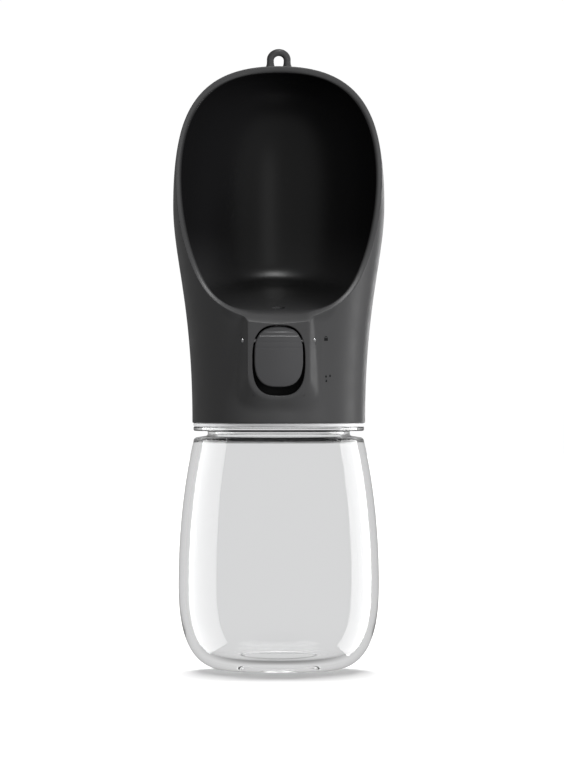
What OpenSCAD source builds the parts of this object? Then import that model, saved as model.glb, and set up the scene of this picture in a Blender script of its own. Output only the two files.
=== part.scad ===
// Travel water bottle for dogs: a clear bottle that screws into a scoop-shaped drinking head.
// The key on the front of the head tips on a pin and opens a valve under the scoop's floor.
// Millimetres, +Z up, the key faces -Y, and the origin is the middle of the bottle's foot.

/* [Bottle] */
// Widest radius of the bottle
bottle_r = 33.9; // [31:0.1:37]
// Height of the widest place above the foot
bottle_wide_z = 29; // [24:1:36]
// Radius of the bottle at the edge of its shoulder
shoulder_r = 28.8; // [27:0.1:30]
// Height of the shoulder's edge above the foot
shoulder_z = 77.4; // [70:0.1:110]
// Radius of the rounding on the shoulder's edge
shoulder_round = 1.3; // [0.8:0.1:2]
// Thickness of the bottle's side wall
bottle_wall = 1.9; // [1.4:0.1:2.4]
// Thickness of the bottle's floor over its foot ring
bottle_floor = 3.4; // [2.6:0.1:5]
// Outer radius of the flat foot ring
foot_r = 17; // [14:0.5:20]
// Radius of the hollow under the foot
hollow_r = 13; // [9:0.5:13.5]
// Depth of the hollow under the foot
hollow_h = 1.5; // [0.8:0.1:2]

/* [Neck] */
// Outer radius of the neck
neck_r = 24; // [22.5:0.1:24.5]
// Thickness of the neck's wall
neck_wall = 2.1; // [1.6:0.1:2.8]
// Height of the groove between the shoulder and the flange
groove_h = 1.8; // [1.2:0.1:4]
// Radius of the flange that the head closes on
flange_r = 28.8; // [27.5:0.1:30]
// Thickness of the flange
flange_t = 1.4; // [1:0.1:2.5]
// Height of the screwed part of the neck above the flange
finish_h = 6.4; // [5.5:0.1:6.6]
// Thickness of the seal ring on the flange
ring_seal_t = 1.2; // [0.8:0.1:2]
// Thickness of the seal on the bottle's mouth
mouth_seal_t = 1.2; // [0.8:0.1:1.6]

/* [Drinking head] */
// Outer radius of the head's collar
collar_r = 29.2; // [28.6:0.1:30.4]
// Radius of the head at its widest
head_r = 35.7; // [33:0.1:38]
// Height of the widest place above the collar's lower edge
head_wide_h = 73.5; // [68:0.5:80]
// Height of the dome above the collar's lower edge
head_h = 121.5; // [116:0.5:130]
// Wall thickness of the head
shell_wall = 2.2; // [1.8:0.1:2.6]
// Thickness of the scoop's floor
scoop_floor_t = 2.2; // [1.6:0.1:2.6]
// Slope of the scoop's floor, rising to the back, in degrees
floor_slope = 10.2; // [7:0.1:13]
// Height of the scoop's floor where it meets the front lip
floor_h = 37.8; // [37.6:0.1:40]
// Height of the rim's lowest point, on the pad
lip_h = 33.5; // [33.3:0.1:34.2]
// Distance of the rim in front of the axis at its waist
rim_waist_y = 12.3; // [10:0.1:15]
// Height of the rim's waist
rim_waist_h = 66.5; // [60:0.5:74]
// Distance of the rim's top behind the axis
rim_top_y = 8; // [5:0.5:12]
// Bore of the outlet in the scoop's floor
outlet_d = 4.5; // [3.5:0.1:5]
// Distance of the outlet behind the lip's crest
outlet_back = 5; // [4.6:0.1:5.4]

/* [Key] */
// How far the pad's flat face stands out from the collar
pad_proud = 1.7; // [1.4:0.1:2.2]
// Half width of the pad's flat face
pad_half_w = 10.4; // [10:0.1:11]
// Corner radius of the pad's flat face
pad_corner = 8.5; // [6:0.5:9.5]
// Width of flat pad under the window
pad_margin = 1.2; // [0.8:0.1:2]
// How far the pad's flank spreads out to the wall
pad_flare = 4; // [3:0.1:5]
// How much further the flank under the pad spreads down
pad_apron = 8.6; // [5:0.2:9]
// Half width of the window in the pad
window_half_w = 8.9; // [8.7:0.05:9.2]
// Lower edge of the window above the collar's lower edge
window_low_h = 9.3; // [9:0.1:9.6]
// Height of the window
window_h = 23.5; // [22.6:0.1:23.6]
// Squareness of the window's oval outline
squareness = 2.8; // [2.4:0.1:3.2]
// Gap between the key and the window's sides and top
key_gap = 0.6; // [0.4:0.05:0.8]
// Distance that the key slides down to unlock
key_travel = 2.3; // [1.6:0.1:2.6]
// How far the key stands out from the pad
key_proud = 0.5; // [0.2:0.1:0.8]
// Height of the pivot pin above the collar's lower edge
pivot_h = 27.7; // [27.4:0.1:28.2]
// Diameter of the pivot pin
pin_d = 1.8; // [1.4:0.1:2]
// Distance of each thumb step behind the one below it
step_depth = 0.4; // [0.2:0.05:0.5]
// Height of each thumb step
step_h = 1.2; // [0.9:0.1:1.5]
// Number of thumb steps
steps = 3; // [2:1:3]

/* [Valve] */
// Height of the valve's axis above the collar's lower edge
valve_h = 18.6; // [18:0.1:19.2]
// Diameter of the valve's stem
stem_d = 4; // [3.4:0.1:4.2]
// Radius of the hole that the poppet closes
seat_r = 3; // [2.7:0.1:3.4]
// Radius of the chamber behind the seat
chamber_r = 5.2; // [4.9:0.1:5.6]
// Thickness of the valve tube's wall
tube_wall = 1.4; // [1:0.1:1.8]
// Thickness of the valve's rubber seal
poppet_seal_t = 1.3; // [0.9:0.1:1.8]
// Number of turns in the return spring
spring_turns = 6; // [4:1:8]
// Diameter of the spring's wire
wire_d = 0.8; // [0.5:0.05:1]
// Section diameter of the small sealing rings
ring_d = 1.4; // [1.1:0.1:1.6]

/* [Cord eye] */
// Diameter of the eye's bar
eye_bar_d = 2.4; // [1.8:0.1:2.8]
// Width of the hole in the eye
eye_hole_w = 3.3; // [3:0.1:5]
// Height of the eye's top above the dome
eye_rise = 5.7; // [5:0.1:8]
// Distance of the eye behind the axis
eye_y = 9.5; // [8.5:0.1:12]

/* [Hidden] */
$fn = 64;

// Clearances between pieces
seat_gap = 0.05;
glide_gap = 0.3;
stem_gap = 0.15;
fixed_gap = 0.25;
far = 80;
eps = 0.01;

// Heights of the joint between bottle and head
groove_z = shoulder_z + shoulder_round + 0.4;
flange_z = groove_z + groove_h;
flange_top = flange_z + flange_t;
mouth_z = flange_top + finish_h;
neck_bore = neck_r - neck_wall;
head_z = flange_top + ring_seal_t;

// Inner cap, above the head's lower edge
inner_r = collar_r - shell_wall;
cap_r = inner_r - fixed_gap;
cap_wall = 1.3;
cap_low_h = 0.5;
deck_low_h = mouth_z + mouth_seal_t - head_z;
deck_t = 1.6;
deck_h = deck_low_h + deck_t;
frame_low_h = deck_h + 0.1;
ledge_t = 1.4;

// Pad and lip
pad_y = collar_r + pad_proud;
pad_depth = 6.5;
crest_y = pad_y - 5.7;
outlet_y = crest_y - outlet_back;
under_h = floor_h - scoop_floor_t / cos(floor_slope);
trough_flat = 20;
trough_half_w = 36;
trough_rise = 14;

// Valve, along the Y axis
plate_t = 1.4;
plate_half_w = window_half_w + 1.1;
frame_half_w = window_half_w + 1.6;
boss_y = -sqrt(pow(cap_r, 2) - pow(plate_half_w, 2));
stem_r = stem_d / 2;
tube_r = chamber_r + tube_wall;
gland_depth = 3.3;
gland_y = boss_y + gland_depth;
gland_r = stem_r + ring_d + seat_gap;
gland_wall = 2;
outlet_chamber_r = seat_r + 0.4;
outlet_chamber_y = gland_y + gland_wall;
seat_t = 1.5;
seat_depth = 14.7;
seat_y = boss_y + seat_depth;
poppet_t = 2;
poppet_r = chamber_r - 0.8;
poppet_back_y = seat_y + poppet_seal_t + poppet_t;
spring_l = 11;
coil_r = 3.3;
spring_boss_r = 2.2;
spring_boss_l = 1.6;
plug_y = poppet_back_y + spring_l;
plug_l = 3.4;
plug_flange_t = 1.2;
tube_end_y = plug_y + plug_l;
port_y = seat_y - seat_t - outlet_d / 2 - 0.2;
plenum_low_h = valve_h + tube_r - 0.4;
plenum_top_h = plenum_low_h + 6;
plenum_wall = 1.25;
inlet_y = poppet_back_y + spring_l / 2;
inlet_r = 2.2;
spigot_r = inlet_r + 0.8;
foot_half_w = 5.4;
bush_flange_t = 0.8;
bush_flange_w = 0.9;
stem_chamfer = 0.5;

// Key and rocker
pin_r = pin_d / 2;
pin_y = -(pad_y - 3.1);
pin_half_l = pad_half_w + 2;
pin_hole_half_l = pin_half_l + 1;
hub_r = pin_r + 0.9;
rocker_plate_t = 1.2;
rocker_front_y = pin_y - hub_r;
rocker_drop = 12.4;
rocker_low_h = pivot_h - rocker_drop;
nose_r = rocker_plate_t;
nose_y = rocker_front_y + rocker_plate_t + nose_r;
stem_front_y = nose_y + glide_gap;
key_half_w = window_half_w - key_gap;
key_h = window_h - 2 * key_gap - key_travel;
key_top_h = window_low_h + window_h - key_gap;
key_low_h = key_top_h - key_h;
key_face_y = -(pad_y + key_proud);
key_back_y = rocker_front_y - glide_gap;
key_skirt = 1.1;
key_edge = 1;
key_skirt_y = key_back_y + 1;
hook_x = key_half_w - 0.3;
hook_y = rocker_front_y + rocker_plate_t + glide_gap;
rocker_half_w = hook_x - key_skirt - glide_gap;
hook_drop = 7.8;
hook_low_h = pivot_h - hook_drop;
hook_h = 5;
hook_t = 0.9;
key_mid_h = key_low_h + key_h / 2;
window_mid_h = window_low_h + window_h / 2;

function bezier(p, n) =
    [for (i = [0:n]) let (t = i / n, u = 1 - t)
        u * u * u * p[0] + 3 * u * u * t * p[1] + 3 * u * t * t * p[2] + t * t * t * p[3]];

function arc(centre, r, from, to, n) =
    [for (i = [0:n]) let (a = from + (to - from) * i / n)
        centre + r * [cos(a), sin(a)]];

// An oval between an ellipse and a rectangle
function oval(a, b) =
    [for (i = [0:59]) let (c = cos(6 * i), s = sin(6 * i))
        [a * sign(c) * pow(abs(c), 2 / squareness), b * sign(s) * pow(abs(s), 2 / squareness)]];

// The bottle's side from its foot to the shoulder's edge, moved in by a wall
function bottle_side(wall, floor_z, edge_z) =
    let (r = bottle_r - wall, lift = edge_z - bottle_wide_z, edge = shoulder_r - wall)
    concat(
        bezier([[foot_r, floor_z], [r - 3.9, floor_z], [r, floor_z + 0.41 * (bottle_wide_z - floor_z)],
            [r, bottle_wide_z]], 14),
        bezier([[r, bottle_wide_z], [r, bottle_wide_z + 0.37 * lift],
            [edge + 0.63 * (r - edge), bottle_wide_z + 0.72 * lift], [edge, edge_z]], 12));

module bottle() {
    top_z = shoulder_z + shoulder_round;
    inner_top_z = top_z - bottle_wall;
    hollow_round = hollow_h;
    color("gainsboro", 0.4) rotate_extrude() difference() {
        polygon(concat(
            [[0, hollow_h], [hollow_r - hollow_round, hollow_h]],
            arc([hollow_r - hollow_round, 0], hollow_round, 90, 0, 6),
            bottle_side(0, 0, shoulder_z),
            arc([shoulder_r - shoulder_round, shoulder_z], shoulder_round, 10, 80, 5),
            [[neck_r + 0.6, groove_z - 0.1], [neck_r, groove_z + 0.5], [neck_r, flange_z]],
            [[flange_r - 0.3, flange_z], [flange_r, flange_z + 0.3], [flange_r, flange_top]],
            [[neck_r, flange_top], [neck_r, mouth_z], [0, mouth_z]]));
        polygon(concat(
            [[0, bottle_floor]],
            bottle_side(bottle_wall, bottle_floor, inner_top_z - 1),
            [[shoulder_r - bottle_wall - 1, inner_top_z], [neck_bore + 0.8, inner_top_z + 0.2]],
            [[neck_bore, inner_top_z + 1.4], [neck_bore, mouth_z + eps], [0, mouth_z + eps]]));
    }
}

module flat_ring(inner, outer, t) {
    rotate_extrude() translate([inner, 0]) square([outer - inner, t]);
}

module flange_seal() {
    color("silver") translate([0, 0, flange_top])
        flat_ring(neck_r + fixed_gap, flange_r, ring_seal_t);
}

module mouth_seal() {
    color("silver") translate([0, 0, mouth_z])
        flat_ring(neck_bore - 0.2, cap_r - cap_wall - 0.1, mouth_seal_t);
}

// The head's outline from the collar to the dome, moved in by a wall
function head_side(wall) =
    let (r = head_r - wall, top = head_h - wall)
    concat(
        bezier([[collar_r - wall, 0], [collar_r - wall, 0.555 * head_wide_h],
            [r, 0.755 * head_wide_h], [r, head_wide_h]], 18),
        bezier([[r, head_wide_h], [r, head_wide_h + 0.785 * (top - head_wide_h)],
            [0.67 * r, top], [0, top]], 22));

module head_solid(wall) {
    rotate_extrude() polygon(concat(
        [[0, -wall], [collar_r - wall, -wall]],
        head_side(wall)));
}

// The rim as the side view shows it, from the front lip to the top
function rim_line() = concat(
    bezier([[-pad_y - 0.7, lip_h], [-0.75 * pad_y, lip_h + 7.6],
        [-rim_waist_y - 5.8, rim_waist_h - 22.6], [-rim_waist_y, rim_waist_h]], 14),
    bezier([[-rim_waist_y, rim_waist_h], [-rim_waist_y + 3.6, rim_waist_h + 14],
        [rim_top_y - 5.7, head_h - 19], [rim_top_y, head_h + 1.5]], 12));

// Extrudes a side view, drawn as [y, z], across the object
module across(half_w) {
    rotate([90, 0, 90]) translate([0, 0, -half_w]) linear_extrude(2 * half_w) children();
}

// Extrudes a front view, drawn as [x, z], from one depth back to another
module through(front_y, back_y) {
    translate([0, back_y, 0]) rotate([90, 0, 0]) linear_extrude(back_y - front_y) children();
}

module front_cut() {
    across(far) polygon(concat(
        [[-far, lip_h], [-pad_y - 0.8, lip_h]],
        rim_line(),
        [[rim_top_y, head_h + far], [-far, head_h + far]]));
}

// The floor's rounded trough, drawn from its middle outwards
function trough_side() = concat(
    [[0, 0]],
    bezier([[trough_flat, 0], [0.82 * trough_half_w, 0],
        [0.92 * trough_half_w, 0.15 * trough_rise], [trough_half_w, trough_rise]], 10),
    [[0.75 * far, far], [0, far]]);

module on_floor() {
    translate([0, -crest_y, floor_h]) rotate([floor_slope, 0, 0])
        translate([0, crest_y / cos(floor_slope), 0]) children();
}

module scoop_hollow() {
    intersection() {
        head_solid(shell_wall);
        on_floor() {
            rotate_extrude(angle = 180) polygon(trough_side());
            rotate([90, 0, 0]) linear_extrude(far) {
                polygon(trough_side());
                mirror([1, 0]) polygon(trough_side());
            }
        }
    }
}

// Everything below the underside of the scoop's floor, from the side
module under_floor() {
    across(far) polygon([
        [-far, -far], [-far, under_h - 2.5], [-crest_y + 0.8, under_h - 2.5],
        [-crest_y + 3.2, under_h + 3.2 * tan(floor_slope)],
        [far, under_h + (far + crest_y) * tan(floor_slope)], [far, -far]]);
}

// The dry space under the scoop's floor
module lower_hollow() {
    intersection() {
        head_solid(shell_wall);
        under_floor();
    }
}

module rounded_plate(half_w, low, high, r) {
    for (x = [-1, 1], z = [low + r, high - r])
        translate([x * (half_w - r), z]) circle(r);
    translate([-half_w, low + r]) square([2 * half_w, high - low - 2 * r]);
    translate([r - half_w, low]) square([2 * (half_w - r), high - low]);
}

// The raised pad, wider at the wall than at its face
module pad() {
    low = window_low_h - pad_margin;
    intersection() {
        hull() for (x = [-1, 1], end = [[low + pad_corner, pad_apron], [floor_h, 0]])
            translate([x * (pad_half_w - pad_corner), -pad_y, end[0]])
                multmatrix([[1, 0, 0, 0], [0, 1, 0, 0], [0, -end[1] / pad_depth, 1, 0]])
                    rotate([-90, 0, 0])
                        cylinder(r1 = pad_corner, r2 = pad_corner + pad_flare, h = pad_depth, $fn = 32);
        translate([-far, -far, cap_low_h]) cube([2 * far, far, far]);
    }
}

module window() {
    through(-far, boss_y + eps) translate([0, window_mid_h])
        polygon(oval(window_half_w, window_h / 2));
}

module trough_shell() {
    color("#34353a") translate([0, 0, head_z]) difference() {
        union() {
            difference() {
                union() {
                    head_solid(0);
                    pad();
                }
                lower_hollow();
            }
            intersection() {
                head_solid(shell_wall / 2);
                through(-far, boss_y) translate([-frame_half_w, frame_low_h])
                    square([2 * frame_half_w, under_h - frame_low_h]);
            }
            difference() {
                translate([0, 0, deck_h + seat_gap])
                    flat_ring(cap_r - cap_wall, inner_r + 0.6, ledge_t);
                translate([-frame_half_w - 1, -far, deck_h - 1]) cube([2 * frame_half_w + 2, far, 4]);
            }
        }
        scoop_hollow();
        front_cut();
        window();
        translate([0, -outlet_y, floor_h - 6]) cylinder(d = outlet_d, h = 14);
        translate([-pin_hole_half_l, pin_y, pivot_h]) rotate([0, 90, 0])
            cylinder(r = pin_r + seat_gap, h = 2 * pin_hole_half_l);
    }
}

module cord_eye() {
    ring_r = (eye_hole_w + eye_bar_d) / 2;
    centre_h = head_h + eye_rise - ring_r - eye_bar_d / 2;
    leg_l = centre_h - head_h + 4;
    color("#2a2b2f") translate([0, 0, head_z]) difference() {
        translate([0, eye_y, centre_h]) {
            rotate([90, 0, 0]) rotate_extrude(angle = 180)
                translate([ring_r, 0]) circle(d = eye_bar_d);
            for (x = [-1, 1]) translate([x * ring_r, 0, -leg_l]) cylinder(d = eye_bar_d, h = leg_l);
        }
        head_solid(0);
    }
}

module inner_cap() {
    color("#3c3d42") translate([0, 0, head_z]) difference() {
        union() {
            translate([0, 0, deck_low_h]) cylinder(r = cap_r, h = deck_t);
            translate([0, 0, cap_low_h]) flat_ring(cap_r - cap_wall, cap_r, deck_low_h - cap_low_h + eps);
        }
        translate([0, inlet_y, 0]) cylinder(r = spigot_r + seat_gap, h = 20);
        translate([0, inlet_y, deck_h - ring_d + 0.3]) cylinder(r = spigot_r + ring_d, h = 20);
    }
}

// Lays a turned piece along the valve's axis, starting at the given depth
module along_valve(y) {
    translate([0, y, valve_h]) rotate([-90, 0, 0]) children();
}

module slot_shape(r) {
    translate([0, -outlet_y]) circle(r);
    translate([0, port_y]) circle(r);
    translate([-r, -outlet_y]) square([2 * r, port_y + outlet_y]);
}

module valve_body() {
    plate_low_h = deck_h + 0.2;
    color("#26272a") translate([0, 0, head_z]) difference() {
        union() {
            through(boss_y, boss_y + plate_t)
                rounded_plate(plate_half_w, plate_low_h, plenum_top_h, 2);
            along_valve(boss_y) cylinder(r = tube_r, h = tube_end_y - boss_y);
            translate([0, 0, valve_h]) linear_extrude(plenum_top_h - valve_h)
                slot_shape(outlet_d / 2 + plenum_wall);
            translate([-foot_half_w, boss_y + eps, deck_h])
                cube([2 * foot_half_w, tube_end_y - boss_y - 1, valve_h - deck_h]);
            translate([0, inlet_y, deck_low_h]) cylinder(r = spigot_r, h = deck_t + 1);
        }
        along_valve(boss_y - 1) cylinder(r = gland_r, h = gland_y - boss_y + 1);
        along_valve(boss_y) cylinder(r = stem_r + stem_gap, h = seat_depth);
        along_valve(outlet_chamber_y) cylinder(r = outlet_chamber_r, h = seat_y - seat_t - outlet_chamber_y);
        along_valve(outlet_chamber_y) cylinder(r = seat_r, h = seat_y - outlet_chamber_y + 1);
        along_valve(seat_y) cylinder(r = chamber_r, h = far);
        translate([0, port_y, valve_h]) cylinder(d = outlet_d, h = far);
        translate([0, 0, plenum_low_h]) linear_extrude(far) slot_shape(outlet_d / 2);
        translate([0, inlet_y, 0]) cylinder(r = inlet_r, h = valve_h);
    }
}

// A sealing ring round an upright axis, at rest on the given plane
module sealing_ring(inner_r) {
    translate([0, 0, ring_d / 2]) rotate_extrude()
        translate([inner_r + ring_d / 2, 0]) circle(d = ring_d, $fn = 24);
}

module inlet_ring() {
    color("black") translate([0, inlet_y, head_z + deck_h - ring_d + 0.3])
        rotate_extrude() translate([spigot_r + 0.05, 0]) square([ring_d - 0.1, ring_d - 0.35]);
}

module outlet_seal() {
    color("silver") translate([0, 0, head_z]) intersection() {
        translate([0, 0, plenum_top_h]) linear_extrude(20) difference() {
            slot_shape(outlet_d / 2 + plenum_wall - 0.1);
            slot_shape(outlet_d / 2);
        }
        under_floor();
    }
}

module gland_bush() {
    color("#26272a") translate([0, 0, head_z]) difference() {
        union() {
            along_valve(boss_y) cylinder(r = gland_r - seat_gap, h = gland_y - ring_d - boss_y - 0.05);
            along_valve(boss_y - bush_flange_t) cylinder(r = gland_r + bush_flange_w, h = bush_flange_t);
        }
        along_valve(boss_y - 2 * bush_flange_t)
            cylinder(r = stem_r + stem_gap, h = gland_depth + 2 * bush_flange_t);
    }
}

module stem_ring() {
    color("black") translate([0, 0, head_z]) along_valve(gland_y - ring_d) sealing_ring(stem_r + seat_gap);
}

module rear_plug() {
    groove_y = plug_y + (plug_l - ring_d) / 2;
    color("#e8e6df") translate([0, 0, head_z]) difference() {
        union() {
            along_valve(plug_y) cylinder(r = chamber_r - seat_gap, h = plug_l);
            along_valve(tube_end_y) cylinder(r = tube_r, h = plug_flange_t);
            along_valve(plug_y - spring_boss_l) cylinder(r = spring_boss_r, h = spring_boss_l + eps);
        }
        along_valve(groove_y - 0.05) difference() {
            cylinder(r = tube_r, h = ring_d + 0.1);
            translate([0, 0, -ring_d]) cylinder(r = chamber_r - ring_d, h = 3 * ring_d);
        }
    }
}

module plug_ring() {
    groove_y = plug_y + (plug_l - ring_d) / 2;
    color("black") translate([0, 0, head_z]) along_valve(groove_y) sealing_ring(chamber_r - ring_d);
}

// Points of one ring of wire, at an angle round the coil
function wire_ring(a, lift, coil_r, sides) =
    [for (k = [0:sides - 1]) let (b = 360 * k / sides, r = coil_r + wire_d / 2 * cos(b))
        [r * cos(a), r * sin(a), lift + wire_d / 2 * sin(b)]];

module wire_coil(coil_r, turns, length) {
    sides = 6;
    rings_per_turn = 12;
    rings = turns * rings_per_turn;
    run = length - wire_d;
    flat_turn = 0.75;
    rise = [for (i = [0:rings]) let (t = i / rings_per_turn)
        min(max(t - flat_turn, 0), turns - 2 * flat_turn) / (turns - 2 * flat_turn)];
    flat_step = wire_d * 1.06;
    lifts = [for (i = [0:rings]) let (t = i / rings_per_turn)
        wire_d / 2 + flat_step * min(t, flat_turn)
            + flat_step * max(t - turns + flat_turn, 0)
            + (run - 2 * flat_step * flat_turn) * rise[i]];
    points = [for (i = [0:rings]) each wire_ring(i * 360 / rings_per_turn, lifts[i], coil_r, sides)];
    sides_faces = [for (i = [0:rings - 1], k = [0:sides - 1]) let (
        a = i * sides + k, b = i * sides + (k + 1) % sides, c = a + sides, d = b + sides)
        each [[a, b, c], [b, d, c]]];
    polyhedron(points, concat(
        sides_faces,
        [[for (k = [sides - 1:-1:0]) k]],
        [[for (k = [0:sides - 1]) rings * sides + k]]));
}

module return_spring() {
    color("gainsboro") translate([0, 0, head_z]) along_valve(poppet_back_y)
        wire_coil(coil_r, spring_turns, spring_l);
}

module plunger() {
    stem_l = poppet_back_y - stem_front_y;
    color("#e8e6df") translate([0, 0, head_z]) {
        along_valve(stem_front_y + stem_chamfer) cylinder(r = stem_r, h = stem_l - stem_chamfer);
        along_valve(stem_front_y) cylinder(r1 = stem_r - stem_chamfer, r2 = stem_r, h = stem_chamfer);
        along_valve(seat_y + poppet_seal_t) cylinder(r = poppet_r, h = poppet_t);
        along_valve(poppet_back_y - eps) cylinder(r = spring_boss_r, h = spring_boss_l);
    }
}

module poppet_seal() {
    color("dimgray") translate([0, 0, head_z]) along_valve(seat_y)
        flat_ring(stem_r + 0.02, poppet_r - 0.1, poppet_seal_t);
}

module pivot_pin() {
    color("gainsboro") translate([-pin_half_l, pin_y, head_z + pivot_h])
        rotate([0, 90, 0]) cylinder(r = pin_r, h = 2 * pin_half_l);
}

module key_rocker() {
    color("#3c3d42") translate([0, 0, head_z]) difference() {
        union() {
            translate([-rocker_half_w, pin_y, pivot_h]) rotate([0, 90, 0])
                cylinder(r = hub_r, h = 2 * rocker_half_w);
            through(rocker_front_y, rocker_front_y + rocker_plate_t) intersection() {
                translate([-rocker_half_w, rocker_low_h])
                    square([2 * rocker_half_w, pivot_h - rocker_low_h]);
                translate([0, key_mid_h]) polygon(oval(rocker_half_w, key_h / 2 - key_skirt - glide_gap));
            }
            translate([0, nose_y - nose_r, valve_h]) sphere(r = nose_r, $fn = 32);
        }
        translate([-far, pin_y, pivot_h]) rotate([0, 90, 0]) cylinder(r = pin_r + 0.07, h = 2 * far);
    }
}

// The key's side view: a flat thumb face under a stair of small steps
function key_side() = concat(
    [[key_skirt_y, key_low_h], [key_face_y + key_edge / 2, key_low_h], [key_face_y, key_low_h + key_edge]],
    [for (i = [0:steps - 1]) each [
        [key_face_y + step_depth * i, key_top_h - step_h * (steps - i)],
        [key_face_y + step_depth * (i + 1), key_top_h - step_h * (steps - i) + 0.2]]],
    [[key_face_y + step_depth * steps, key_top_h], [key_skirt_y, key_top_h]]);

module key_cap() {
    color("#3a3b40") translate([0, 0, head_z]) {
        difference() {
            intersection() {
                through(-far, 0) translate([0, key_mid_h]) polygon(oval(key_half_w, key_h / 2));
                across(far) polygon(key_side());
            }
            through(key_back_y, 0) translate([0, key_mid_h]) {
                polygon(oval(key_half_w - key_skirt, key_h / 2 - key_skirt));
                translate([key_skirt - key_half_w, 0]) square([2 * (key_half_w - key_skirt), key_h]);
            }
        }
        for (x = [0, 1]) mirror([x, 0, 0]) {
            translate([hook_x - key_skirt, key_back_y - eps, hook_low_h])
                cube([key_skirt, hook_y + hook_t - key_back_y + eps, hook_h]);
            translate([hook_x - 2 * key_skirt, hook_y, hook_low_h]) cube([2 * key_skirt, hook_t, hook_h]);
        }
    }
}

bottle();
flange_seal();
mouth_seal();
trough_shell();
cord_eye();
inner_cap();
valve_body();
inlet_ring();
outlet_seal();
gland_bush();
stem_ring();
rear_plug();
plug_ring();
return_spring();
plunger();
poppet_seal();
pivot_pin();
key_rocker();
key_cap();
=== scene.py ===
import bpy
import bmesh
import math
import numpy as np
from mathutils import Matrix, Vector


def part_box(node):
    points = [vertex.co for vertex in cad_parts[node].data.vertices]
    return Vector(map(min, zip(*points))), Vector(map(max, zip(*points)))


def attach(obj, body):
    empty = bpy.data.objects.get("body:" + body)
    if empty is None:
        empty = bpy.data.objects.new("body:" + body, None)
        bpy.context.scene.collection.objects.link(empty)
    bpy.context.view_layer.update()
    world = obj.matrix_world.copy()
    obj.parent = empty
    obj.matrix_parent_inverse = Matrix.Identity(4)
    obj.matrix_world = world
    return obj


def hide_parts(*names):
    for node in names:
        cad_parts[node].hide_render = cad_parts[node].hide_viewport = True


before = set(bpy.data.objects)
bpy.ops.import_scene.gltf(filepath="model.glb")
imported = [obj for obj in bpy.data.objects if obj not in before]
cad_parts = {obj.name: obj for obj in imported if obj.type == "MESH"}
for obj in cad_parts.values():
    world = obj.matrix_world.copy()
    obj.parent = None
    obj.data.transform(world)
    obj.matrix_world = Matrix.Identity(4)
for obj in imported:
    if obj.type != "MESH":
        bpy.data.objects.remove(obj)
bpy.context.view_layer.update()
scene = bpy.context.scene
metre = 0.001  # shapes are worked out in millimetres
weld = 0.002  # points nearer to each other than this become one
print("frame loaded:", len(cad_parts), "nodes")

# Heights that several pieces share
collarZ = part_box("trough_shell")[0].z / metre
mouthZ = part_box("bottle")[1].z / metre
dome = 121.5  # the head's height over its collar


# A cubic Bezier curve's points, its last one included
def bezier(points, count):
    t = np.linspace(0, 1, count + 1)[:, None]
    a, b, c, d = (np.array(p, float) for p in points)
    return (1 - t) ** 3 * a + 3 * (1 - t) ** 2 * t * b + 3 * (1 - t) * t * t * c + t ** 3 * d


# The smaller of two values, rounded where they are less than a width apart
def softMin(a, b, width):
    near = np.clip(1 - np.abs(a - b) / width, 0, 1)
    return np.minimum(a, b) - near * near * width / 4


def softMax(a, b, width):
    return -softMin(-a, -b, width)


# Rises smoothly from 0 at a low value to 1 at a high one
def softStep(value, low, high):
    t = np.clip((value - low) / (high - low), 0, 1)
    return t * t * (3 - 2 * t)


# The value where a rising function passes zero, found for many columns at once by halving
def crossing(function, low, high, rounds=44):
    low = np.array(low, float)
    high = np.array(high, float)
    for _ in range(rounds):
        middle = (low + high) / 2
        below = function(middle) < 0
        low = np.where(below, middle, low)
        high = np.where(below, high, middle)
    return (low + high) / 2


# A surface spun round the Z axis and then laid on a table of points, row by row and column by column.
# Its first and last rows are poles, or they join each other in a loop.
def wovenMesh(table, loop=False):
    rows, columns = table.shape[:2]
    mesh = bmesh.new()
    line = []
    for row in range(rows):
        pole = not loop and row in (0, rows - 1)
        line.append(mesh.verts.new((0 if pole else 1, 0, row)))
    edges = [mesh.edges.new(pair) for pair in zip(line, line[1:])]
    if loop:
        edges.append(mesh.edges.new((line[-1], line[0])))
    bmesh.ops.spin(mesh, geom=line + edges, cent=(0, 0, 0), axis=(0, 0, 1), dvec=(0, 0, 0),
                   angle=2 * math.pi, steps=columns, use_merge=True)
    bmesh.ops.remove_doubles(mesh, verts=mesh.verts, dist=weld)
    step = 2 * math.pi / columns
    for vert in mesh.verts:
        column = round(math.atan2(vert.co.y, vert.co.x) / step) % columns
        vert.co = table[round(vert.co.z), column]
    bmesh.ops.recalc_face_normals(mesh, faces=mesh.faces)
    return mesh


# A turned piece's table from its profile of radii and heights
def turnedTable(profile, columns):
    profile = np.array(profile, float)
    angle = np.linspace(0, 2 * np.pi, columns, endpoint=False)
    radius = profile[:, :1]
    height = np.repeat(profile[:, 1:], columns, axis=1)
    return np.stack([radius * np.cos(angle), radius * np.sin(angle), height], axis=2)


# Joins a tool to a solid, cuts it away or keeps what they share; both are used up
def combined(solid, tool, operation):
    blanks = []
    for shape in (solid, tool):
        data = bpy.data.meshes.new("blank")
        shape.to_mesh(data)
        shape.free()
        blanks.append(bpy.data.objects.new("blank", data))
        scene.collection.objects.link(blanks[-1])
    modifier = blanks[0].modifiers.new("cut", "BOOLEAN")
    modifier.object = blanks[1]
    modifier.operation = operation
    modifier.solver = "EXACT"
    graph = bpy.context.evaluated_depsgraph_get()
    result = bmesh.new()
    result.from_mesh(blanks[0].evaluated_get(graph).to_mesh())
    for blank in blanks:
        data = blank.data
        bpy.data.objects.remove(blank)
        bpy.data.meshes.remove(data)
    return result


# A box between two opposite corners
def block(low, high):
    mesh = bmesh.new()
    bmesh.ops.create_cube(mesh, size=1)
    low = Vector(low)
    high = Vector(high)
    bmesh.ops.scale(mesh, vec=high - low, verts=mesh.verts)
    bmesh.ops.translate(mesh, vec=(low + high) / 2, verts=mesh.verts)
    return mesh


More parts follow.
